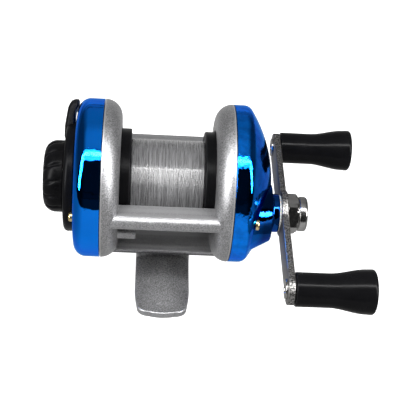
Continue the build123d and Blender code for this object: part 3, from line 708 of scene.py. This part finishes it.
def left_cover():
    """Cup with a boss for the click lever and a stub that the tension knob sits on."""
    boss_radius, boss_end_x, stub, bore = 5.4, -28.65, 4.6, 2.1
    bushing, bushing_out_x, bushing_in_x = 3.0, -24.2, -19.4
    inner_face_x, inner_corner = LEFT_FACE_X + 1.6, 2.6
    points = [
        (-SEAM_X, SIDE_RADIUS),
        (LEFT_FACE_X, SIDE_RADIUS),
        (LEFT_FACE_X, boss_radius),
        (boss_end_x, boss_radius),
        (boss_end_x, stub),
        (left_low.x, stub),
        (left_low.x, bore),
        (bushing_out_x, bore),
        (bushing_out_x, bushing),
        (bushing_in_x, bushing),
        (bushing_in_x, bushing + COVER_WALL),
        (inner_face_x, bushing + COVER_WALL),
        (inner_face_x, SIDE_RADIUS - COVER_WALL),
        (-SEAM_X, SIDE_RADIUS - COVER_WALL),
    ]
    radii = [0, LEFT_CORNER, 0.2, 0.15, 0.1, 0.3, 0.1, 0, 0, 0.1, 0.1, 0, inner_corner, 0.1]
    outline = rounded(points, radii, 18)
    return turned("left_shell", "frame", "blue_chrome", outline, 224, sharp=60.0)


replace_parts(left_cover(), "left_cover")


def dome_x(y, z, apex=DOME_APEX_X, radius=DOME_RADIUS):
    """Where the domed face is, over a point given from the spool axis."""
    return apex - radius + math.sqrt(radius**2 - y * y - z * z)


def right_cover():
    """Domed cover with a tapered boss off its centre. Rays run out from the drive shaft's axle."""
    rays, dome_steps, inner_steps = 288, 26, 5
    hub_end = right_high.x
    shoulder_round, shoulder_run, shoulder_share = 2.7, 2.9, 0.6
    bushing_ledge = 0.4
    inner_apex, inner_dome = DOME_APEX_X - COVER_WALL, DOME_RADIUS - COVER_WALL
    taper = (BOSS_ROOT - BOSS_RIM) / (BOSS_FACE_X - BOSS_EDGE - BOSS_BASE_X)

    def reach(angle, radius):
        """Distance from the drive axle to a circle around the spool axle."""
        along = -(DRIVE_Y * math.cos(angle) + DRIVE_Z * math.sin(angle))
        return along + math.sqrt(along**2 + radius**2 - DRIVE_Y**2 - DRIVE_Z**2)

    def point(angle, distance):
        return DRIVE_Y + distance * math.cos(angle), DRIVE_Z + distance * math.sin(angle)

    def inner_x(angle, distance):
        return dome_x(*point(angle, distance), inner_apex, inner_dome)

    def boss_foot(angle):
        """Distance at which the boss's tapered wall meets the dome, by halving."""
        low, high = BOSS_RIM, BOSS_ROOT + 0.5
        for _ in range(40):
            middle = (low + high) / 2
            wall_x = BOSS_BASE_X + (BOSS_ROOT - middle) / taper
            if wall_x > dome_x(*point(angle, middle)):
                low = middle
            else:
                high = middle
        return low

    def profile(angle):
        """The cover's section along one ray, as (x, distance from the drive axle)."""
        foot = boss_foot(angle)
        edge = reach(angle, SIDE_RADIUS)
        inner_edge = reach(angle, SIDE_RADIUS - COVER_WALL)
        corners = [
            (hub_end, BUSHING_HOLE),
            (hub_end, HUB_RADIUS),
            (BOSS_FACE_X, HUB_RADIUS),
            (BOSS_FACE_X, BOSS_RIM),
            (dome_x(*point(angle, foot)), foot),
        ]
        run = min(shoulder_run, shoulder_share * (edge - foot))
        dome = []
        for i in range(1, dome_steps):
            distance = foot + (edge - run - foot) * i / (dome_steps - 1)
            dome.append((dome_x(*point(angle, distance)), distance))
        rim = [(dome_x(*point(angle, edge)), edge), (SEAM_X, edge)]
        inner = [(SEAM_X, inner_edge), (inner_x(angle, inner_edge), inner_edge)]
        for i in range(1, inner_steps + 1):
            share = i / inner_steps
            distance = inner_edge + (BUSHING_HOLE + bushing_ledge - inner_edge) * share
            inner.append((inner_x(angle, distance), distance))
        inner.append((inner[-1][0], BUSHING_HOLE))
        radii = [0.1, 0.35, 0.7, 0.55, 0.5]
        radii += [0] * len(dome) + [shoulder_round, 0.1] + [0] * len(inner)
        return rounded(corners + dome + rim + inner, radii, 7)

    angles = [2 * math.pi * k / rays for k in range(rays)]
    profiles = [profile(angle) for angle in angles]
    rings = []
    for stations in zip(*profiles, strict=True):
        ring = []
        for angle, (x, distance) in zip(angles, stations):
            y, z = point(angle, distance)
            ring.append((x, y, AXIS_Z + z))
        rings.append(ring)
    bm = bmesh.new()
    skin(bm, rings)
    return finish_mesh("right_shell", bm, "frame", "blue_chrome", 60.0, "rippled_chrome")


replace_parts(right_cover(), "right_cover")

# ---------------------------------------------------------------- screws


def screw_heads(name, node, seat_x, outward, ring, angles, radius):
    """Pan heads with a cross recess, on plain shanks."""
    shank, height = 0.8, 1.1
    recess_long, recess_wide, recess_depth, over_head = 1.55, 0.36, 0.55 * height, 0.4
    low, high = limits(node)
    tail_x = high.x if outward < 0 else low.x
    top = seat_x + outward * height
    points = [
        (top, 0.0),
        (top, radius),
        (seat_x, radius),
        (seat_x, shank),
        (tail_x, shank),
        (tail_x, 0.0),
    ]
    outline = rounded(points, [0, 0.5 * height, 0.08, 0, 0.15, 0], 6)
    bm = bmesh.new()
    for angle in angles:
        y, z = polar(ring, angle)
        blank = bmesh.new()
        lathe(blank, outline, 48, y, z)
        blank = as_object(blank)
        cutters = []
        for wide, tall in ((recess_long, recess_wide), (recess_wide, recess_long)):
            across, along = wide / 2, tall / 2
            slot = bmesh.new()
            prism(
                slot,
                [(-across, -along), (across, -along), (across, along), (-across, along)],
                -recess_depth,
                over_head,
                lambda u, v, w: (top + outward * w, y + u, AXIS_Z + z + v),
            )
            cutters.append(as_object(slot))
        head = combine(blank, cutters, "DIFFERENCE")
        scrap = bpy.data.meshes.new("scrap")
        head.to_mesh(scrap)
        head.free()
        bm.from_mesh(scrap)
        bpy.data.meshes.remove(scrap)
    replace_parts(finish_mesh(name, bm, "frame", "brass", 35.0), node)


screw_heads(
    "left_screws", "left_cover_screws", seat_x=LEFT_FACE_X, outward=-1,
    ring=16.9, angles=(180, 300, 10), radius=1.3,
)
screw_heads(
    "right_screws", "right_cover_screws", seat_x=24.4, outward=1,
    ring=18.9, angles=(175, 300, 10), radius=1.6,
)

# ---------------------------------------------------------------- spool and line


def spool():
    """Arbor between two dished flanges, with a journal on the left for the click gear."""
    web_x, web_outer, web_inner = LINE_HALF_WIDTH + 1.4, SPOOL_RADIUS - 2.4, 7.0
    rim_inner, hub, journal, shaft = SPOOL_RADIUS - 1.6, 5.6, 3.2, 1.5
    points = [
        (LINE_HALF_WIDTH, ARBOR_RADIUS),
        (LINE_HALF_WIDTH, SPOOL_RADIUS),
        (SPOOL_HALF_WIDTH, SPOOL_RADIUS),
        (SPOOL_HALF_WIDTH, rim_inner),
        (web_x, web_outer),
        (web_x, web_inner),
        (SPOOL_HALF_WIDTH, hub),
        (SPOOL_HALF_WIDTH, shaft),
    ]
    flange = rounded(points, [0, 0.45, 0.35, 0.2, 0.5, 0.5, 0.2, 0], 5)
    outline = list(reversed(flange)) + [(-x, r) for x, r in flange[:-1]]
    outline += [(-SPOOL_HALF_WIDTH, journal), (spool_low.x, journal), (spool_low.x, shaft)]
    return turned("spool_body", "spool", "black_plastic", outline, 176)


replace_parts(spool(), "spool")


def strand_along(bm, points, strand, sides=6):
    """One run of line through points of (x, radius, angle) around the spool axis."""
    rings = []
    for x, radius, angle in points:
        ring = []
        for k in range(sides):
            turn = 2 * math.pi * k / sides
            r = radius + strand * math.sin(turn)
            across = x + strand * math.cos(turn)
            ring.append((across, r * math.cos(angle), AXIS_Z + r * math.sin(angle)))
        rings.append(ring)
    capped(bm, rings)


def wound_line():
    """The level-wound nylon line: one turn beside the next, with a few turns that stray across."""
    rng = random.Random(7)
    strand, pitch, around = 0.13, 0.245, 44
    edge_room, waver_range, drop_range = 0.25, 0.03, 0.07
    layer = LINE_RADIUS - strand - 0.02
    core, core_edge = LINE_RADIUS - 0.34, 0.1
    turns = int((2 * LINE_HALF_WIDTH - 2 * edge_room) / pitch)
    bm = bmesh.new()
    half = [(LINE_HALF_WIDTH, ARBOR_RADIUS), (LINE_HALF_WIDTH, core - core_edge)]
    half.append((LINE_HALF_WIDTH - core_edge, core))
    lathe(bm, half + [(-x, r) for x, r in reversed(half)], 96)

    start = -LINE_HALF_WIDTH + 0.3
    waver = [rng.uniform(-waver_range, waver_range) for _ in range(turns + 2)]
    drop = [rng.uniform(-drop_range, 0.0) for _ in range(turns + 2)]
    points = []
    for step in range(turns * around):
        turn, part = divmod(step, around)
        share = part / around
        x = start + pitch * (turn + share)
        x += waver[turn] * (1 - share) + waver[turn + 1] * share
        radius = layer + drop[turn] * (1 - share) + drop[turn + 1] * share
        points.append((x, radius, 2 * math.pi * share))
    strand_along(bm, points, strand)

    strays, stray_steps, stray_turn, stray_limit, stray_lift = 5, 25, 1.9, 9.9, 0.22
    for _ in range(strays):
        centre_angle = math.radians(rng.uniform(60, 175))
        x = rng.uniform(-8.0, 8.0)
        slant = rng.choice((-1, 1)) * rng.uniform(3.0, 8.0)
        stray = []
        for k in range(stray_steps + 1):
            share = k / stray_steps
            across = max(-stray_limit, min(stray_limit, x + slant * (share - 0.5)))
            lift = math.sin(math.pi * share) ** 0.5 * stray_lift
            angle = centre_angle + stray_turn * (share - 0.5)
            stray.append((across, layer - stray_lift + lift, angle))
        strand_along(bm, stray, strand)
    return finish_mesh("wound_line", bm, "spool", "clear_line", 80.0)


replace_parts(wound_line(), "line_winding")

# ---------------------------------------------------------------- tension knob and click lever


def tension_knob():
    """Domed knob with finger scallops that sweep over its rim."""
    outer, inner = tension_low.x, tension_high.x
    radius = (tension_high.z - tension_low.z) / 2
    crown_round, wall, sleeve_outer, sleeve_inner, floor_x = 3.5, 2.6, 6.2, 4.7, -32.2
    lobes, twist, depth, rise = 14, 2.6, 0.34, 0.15
    points = [(outer, 0.0), (outer + 0.04, 2.0), (outer + 0.15, 4.0), (outer + 0.34, 5.6)]
    points += arc((outer + 3.9, radius - crown_round), crown_round, 176, 92, 20)
    skirt = [(inner - 1.5, radius), (inner, radius), (inner, radius - 1.4)]
    skirt.append((inner - 1.4, radius - 2.2))
    points += rounded(skirt, [0, 0.3, 0.3, 0], 4)
    points += [(floor_x, radius - wall), (floor_x, sleeve_outer), (inner, sleeve_outer)]
    points += [(inner, sleeve_inner), (floor_x, sleeve_inner), (floor_x, 0.0)]

    def scallop(x, r, angle):
        """Deepest on the rim, and turned a little from the outer face to the inner one."""
        height = (x - outer) / (inner - outer)
        on_rim = clamped((r - 6.2) / 2.2) * clamped((1.02 - height) * 4)
        groove = max(0.0, math.cos(lobes * angle + twist * height)) ** 5
        return x + rise * groove * on_rim * (1 - height), r - depth * groove * on_rim

    return turned(
        "tension_cap", "tension_knob", "black_plastic", points, 252, wobble=scallop, sharp=50.0
    )


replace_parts(tension_knob(), "tension_knob")


def lever_disc():
    """Flat disc with a rounded outer rim."""
    radius, bore, inner_x, outer_x = 15.5, 5.48, -25.9, -28.6
    points = [(inner_x, bore), (outer_x, bore), (outer_x, radius), (inner_x, radius)]
    bm = bmesh.new()
    lathe(bm, rounded(points, [0.1, 0.2, 1.9, 0.25], 9), 192)
    return as_object(bm)


def lever_tab():
    """Finger tab, thinner and lower towards its two side edges."""
    outer_edge = [(-28.6, 9.6), (-29.3, 11.2), (-29.33, 14.3), (-29.04, 16.5)]
    outer_edge += [(-28.65, 19.4), (-28.14, 20.7)]
    tip = [(-27.5, 21.55), (-26.6, 21.95), (-25.75, 21.95), (-25.5, 21.6)]
    inner_edge = [(-25.6, 20.1), (-26.34, 18.8), (-26.48, 17.3), (-26.4, 15.9)]
    inner_edge += [(-26.3, 13.0), (-26.3, 10.5)]
    root, end = 9.6, 21.95
    middle_x, least_thickness, half_width, stations = -27.3, 0.4, 4.4, 28
    wide, narrowing, side_drop = 1.25, 0.32, 1.5
    angle = math.radians(49.0)
    rings = []
    for k in range(stations + 1):
        side = -math.cos(math.pi * k / stations)
        thickness = max(0.0, 1 - abs(side) ** 6) ** 0.5
        thickness = least_thickness + (1 - least_thickness) * thickness
        ring = []
        for x, r in outer_edge + tip + inner_edge:
            height = (r - root) / (end - root)
            width = half_width * (wide - narrowing * height)
            top = r - side_drop * max(0.0, height) * abs(side) ** 5
            y = top * math.cos(angle) - side * width * math.sin(angle)
            z = top * math.sin(angle) + side * width * math.cos(angle)
            ring.append((middle_x + (x - middle_x) * thickness, y, AXIS_Z + z))
        rings.append(ring)
    bm = bmesh.new()
    capped(bm, rings)
    bmesh.ops.remove_doubles(bm, verts=bm.verts, dist=2e-6)
    return as_object(bm)


def click_lever():
    """Disc with a finger tab that leans over the cover's rounded corner."""
    joined = combine(lever_disc(), [lever_tab()])
    return finish_mesh("click_disc", joined, "click_lever", "black_plastic", 38.0)


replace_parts(click_lever(), "click_lever")

# ---------------------------------------------------------------- handle


def handle_arm():
    """Flat bar with round ends, a wider hub and three holes."""
    half_width, hub_radius, fillet = 4.2, 6.4, 1.2
    pin_hole, shaft_hole, cut_over = 1.6, 3.02, 1.0
    half = (arm_high.y - arm_low.y - 2 * half_width) / 2
    side = half_width + fillet
    neck = math.sqrt((hub_radius + fillet) ** 2 - side**2)
    turn = math.degrees(math.atan2(side, neck))
    outline = arc((half, 0), half_width, -90, 90, 28)
    outline += arc((neck, side), fillet, 270, 180 + turn, 6)
    outline += arc((0, 0), hub_radius, turn, 180 - turn, 24)
    outline += arc((-neck, side), fillet, -turn, -90, 6)
    outline += arc((-half, 0), half_width, 90, 270, 28)
    outline += arc((-neck, -side), fillet, 90, turn, 6)
    outline += arc((0, 0), hub_radius, 180 + turn, 360 - turn, 24)
    outline += arc((neck, -side), fillet, 180 - turn, 90, 6)
    clean = [
        p for i, p in enumerate(outline) if (Vector(p) - Vector(outline[i - 1])).length > 1e-4
    ]

    def place(y, z, x):
        return x, DRIVE_Y + y, AXIS_Z + DRIVE_Z + z

    bm = bmesh.new()
    prism(bm, clean, arm_low.x, arm_high.x, place, 0.22, 3)
    plate = as_object(bm)
    cutters = []
    low_x, high_x = arm_low.x - cut_over, arm_high.x + cut_over
    for y, radius in ((-half, pin_hole), (half, pin_hole), (0.0, shaft_hole)):
        bm = bmesh.new()
        rod = [(low_x, 0.0), (low_x, radius), (high_x, radius), (high_x, 0.0)]
        lathe(bm, rod, 48, DRIVE_Y + y, DRIVE_Z)
        cutters.append(as_object(bm))
    drilled = combine(plate, cutters, "DIFFERENCE")
    return finish_mesh("arm_plate", drilled, "handle", "nickel_steel", 30.0)


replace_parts(handle_arm(), "handle_arm")


def handle_nut():
    """Locking nut: chamfered hexagon and a round collar."""
    flats, collar, bore, collar_round = 5.0, 4.87, 3.02, 0.7
    start, end = nut_low.x, nut_high.x
    hex_end = start + 3.1
    corner = flats / math.cos(math.pi / 6)
    rows = [(start, bore), (start, flats - 0.15)]
    rows += [(start + 0.12, corner - 0.35), (start + 0.35, corner), (start + 1.2, corner)]
    rows += [(hex_end - 0.9, corner), (hex_end - 0.5, corner - 0.12)]
    rows += [(hex_end - 0.12, flats + 0.1), (hex_end, flats - 0.12), (hex_end, collar)]
    rows += [(hex_end + 0.25, collar - 0.18), (hex_end + 0.5, collar)]
    rows += arc((end - collar_round, collar - collar_round), collar_round, 90, 0, 7)
    rows += [(end, 3.75), (end - 0.35, 3.6), (end - 0.4, 3.2), (end - 0.4, bore)]

    def hexed(x, r, angle):
        """Cuts the round blank back to six flats, up to the collar."""
        local = math.degrees(angle) % 60 - 30
        face = flats / math.cos(math.radians(local))
        on_hexagon = x < hex_end - 0.01 and r > flats - 0.2
        return x, min(r, face) if on_hexagon else r

    return turned(
        "locking_nut", "handle", "nickel_steel", rows, 240, DRIVE_Y, DRIVE_Z, hexed, 22.0,
        "nickel_plate",
    )


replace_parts(handle_nut(), "handle_nut")


def knob(place):
    """Straight neck that flares to a rounded, slightly domed end."""
    node = f"{place}_knob"
    low, high = limits(node)
    y = (low.y + high.y) / 2
    end_radius = (high.z - low.z) / 2
    neck, bore, bore_end = 4.6, 1.66, 51.2
    flare_start, flare_end, flare_steps = 43.2, high.x - 2.6, 32
    end_round = 0.9
    outline = [(bore_end, 0.0), (bore_end, bore), (low.x, bore)]
    outline += rounded([(low.x, 2.0), (low.x, neck), (low.x + 2.0, neck)], [0, 0.35, 0], 5)
    outline += [(low.x + 4.0, neck)]
    for k in range(flare_steps + 1):
        share = k / flare_steps
        x = flare_start + (flare_end - flare_start) * share
        outline.append((x, neck + (end_radius - 0.06 - neck) * eased(share)))
    outline += [(high.x - 1.6, end_radius)]
    outline += arc((high.x - 1.15, end_radius - end_round), end_round, 84, 12, 8)
    outline += [(high.x - 0.14, end_radius - 1.5), (high.x - 0.05, 3.6), (high.x, 2.0)]
    outline += [(high.x, 0.0)]
    return turned(f"{place}_grip", node, "black_gloss", outline, 128, y, DRIVE_Z, sharp=50.0)


def knob_pin(place):
    """Riveted pin with a dimpled head on the inner side of the arm."""
    low, high = limits(f"{place}_knob_pin")
    y = (low.y + high.y) / 2
    face, head = low.x, (high.z - low.z) / 2
    shank, head_height, dimple, dimple_depth = 1.6, 0.55, 1.05, 1.4
    rim = [(face + 0.5, dimple), (face, dimple), (face, head), (face + head_height, head)]
    end = [(high.x - 1.0, shank), (high.x, shank), (high.x, 0.0)]
    outline = [(face + dimple_depth + 0.2, 0.0), (face + dimple_depth, dimple - 0.2)]
    outline += rounded(rim, [0, 0.3, 0.42, 0], 6) + [(face + head_height, shank)]
    outline += rounded(end, [0, 0.3, 0], 4)
    return turned(
        f"{place}_pin", "handle", "nickel_steel", outline, 72, y, DRIVE_Z, None, 40.0,
        "nickel_plate",
    )


for place in ("rear", "front"):
    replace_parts(knob(place), f"{place}_knob")
    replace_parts(knob_pin(place), f"{place}_knob_pin")

# ---------------------------------------------------------------- studio


def floor():
    """Pale floor, low enough for the handle's knobs to swing past the foot."""
    half_size, parts, drop = 1.6, 8, 0.0125
    bm = bmesh.new()
    bmesh.ops.create_grid(bm, x_segments=parts, y_segments=parts, size=half_size)
    mesh = bpy.data.meshes.new("floor")
    bm.to_mesh(mesh)
    bm.free()
    obj = bpy.data.objects.new("floor", mesh)
    obj.location.z = -drop
    bpy.context.scene.collection.objects.link(obj)
    obj.data.materials.append(pale_floor())
    obj.visible_glossy = obj.visible_diffuse = False


def softbox(name, place, width, height, power):
    """Soft rectangular light, turned towards the middle of the reel."""
    light = bpy.data.lights.new(name, "AREA")
    light.shape = "RECTANGLE"
    light.size, light.size_y = width, height
    light.energy = power
    obj = bpy.data.objects.new(name, light)
    obj.location = place
    aim = Vector((0.0, 0.0, AXIS_Z * MM))
    obj.rotation_euler = (aim - Vector(place)).to_track_quat("-Z", "Y").to_euler()
    bpy.context.scene.collection.objects.link(obj)


def surroundings():
    """White to the eye. As a light: a pale table, a grey wall behind and a dim room in front."""
    world = bpy.data.worlds.new("studio")
    bpy.context.scene.world = world
    world.use_nodes = True
    world.node_tree.nodes.clear()
    n = Nodes(world.node_tree)
    direction = n.node("ShaderNodeTexCoord").outputs["Generated"]
    split = n.node("ShaderNodeSeparateXYZ", {"Vector": direction})
    aside = n.math("ABSOLUTE", split.outputs["X"])
    behind = n.span(split.outputs["Y"], 0.03, 1.0, -0.20, -0.12)
    wall_width = n.span(aside, 1.0, 0.22, 0.12, 0.55)
    table_width = n.span(aside, 1.0, 0.45, 0.30, 0.90)
    levels = [
        (0.0, 0.85), (0.165, 0.85), (0.17, 0.16), (0.19, 0.16), (0.195, 0.52), (0.30, 0.46),
        (0.305, 0.20), (0.33, 0.20), (0.335, 0.46), (0.84, 0.40), (0.96, 0.62),
    ]
    wall = n.ramp(split.outputs["Z"], [(place, (level,) * 3) for place, level in levels])
    table = n.span(split.outputs["Z"], 0.86, 0.0, -0.125, -0.095)
    wall_light = n.math("MULTIPLY", n.math("MULTIPLY", behind, wall_width), wall)
    table_light = n.math("MULTIPLY", table, table_width)

    strength = n.math("MAXIMUM", wall_light, table_light)
    room = n.node("ShaderNodeBackground", {"Strength": strength}).outputs["Background"]
    white = {"Color": (1.0, 1.0, 1.0), "Strength": 1.0}
    seen = n.node("ShaderNodeBackground", white).outputs["Background"]
    by_camera = n.node("ShaderNodeLightPath").outputs["Is Camera Ray"]
    blend = n.node("ShaderNodeMixShader", {"Fac": by_camera, 1: room, 2: seen})
    n.node("ShaderNodeOutputWorld", {"Surface": blend.outputs["Shader"]})


def camera():
    """The photo's view: from the angler's side, about 41 degrees above the reel.

    right, up and back are the camera's own axes, as directions in the CAD frame.
    """
    data = bpy.data.cameras.new("camera")
    data.sensor_width = 36.0
    data.lens = 94.546
    data.clip_start = 0.01
    obj = bpy.data.objects.new("camera", data)
    right = Vector((0.99693, -0.02208, 0.07508))
    up = Vector((-0.04091, 0.67079, 0.74052))
    back = Vector((-0.06671, -0.74132, 0.66783))
    place = Vector((-8.317, -239.741, 231.310)) * MM
    turn = Matrix((right, up, back)).transposed().to_4x4()
    obj.matrix_world = Matrix.Translation(place) @ turn
    bpy.context.scene.collection.objects.link(obj)
    bpy.context.scene.camera = obj


floor()
surroundings()
softbox("overhead", (0.0, -0.158, 0.50), 0.60, 0.13, 0.9)
softbox("overhead_core", (0.0, -0.145, 0.49), 0.54, 0.045, 2.2)
softbox("left_key", (-0.47, -0.30, 0.40), 0.17, 0.60, 9.6)
softbox("right_key", (0.50, -0.27, 0.43), 0.17, 0.56, 8.6)
camera()
bpy.context.scene.view_settings.view_transform = "Standard"
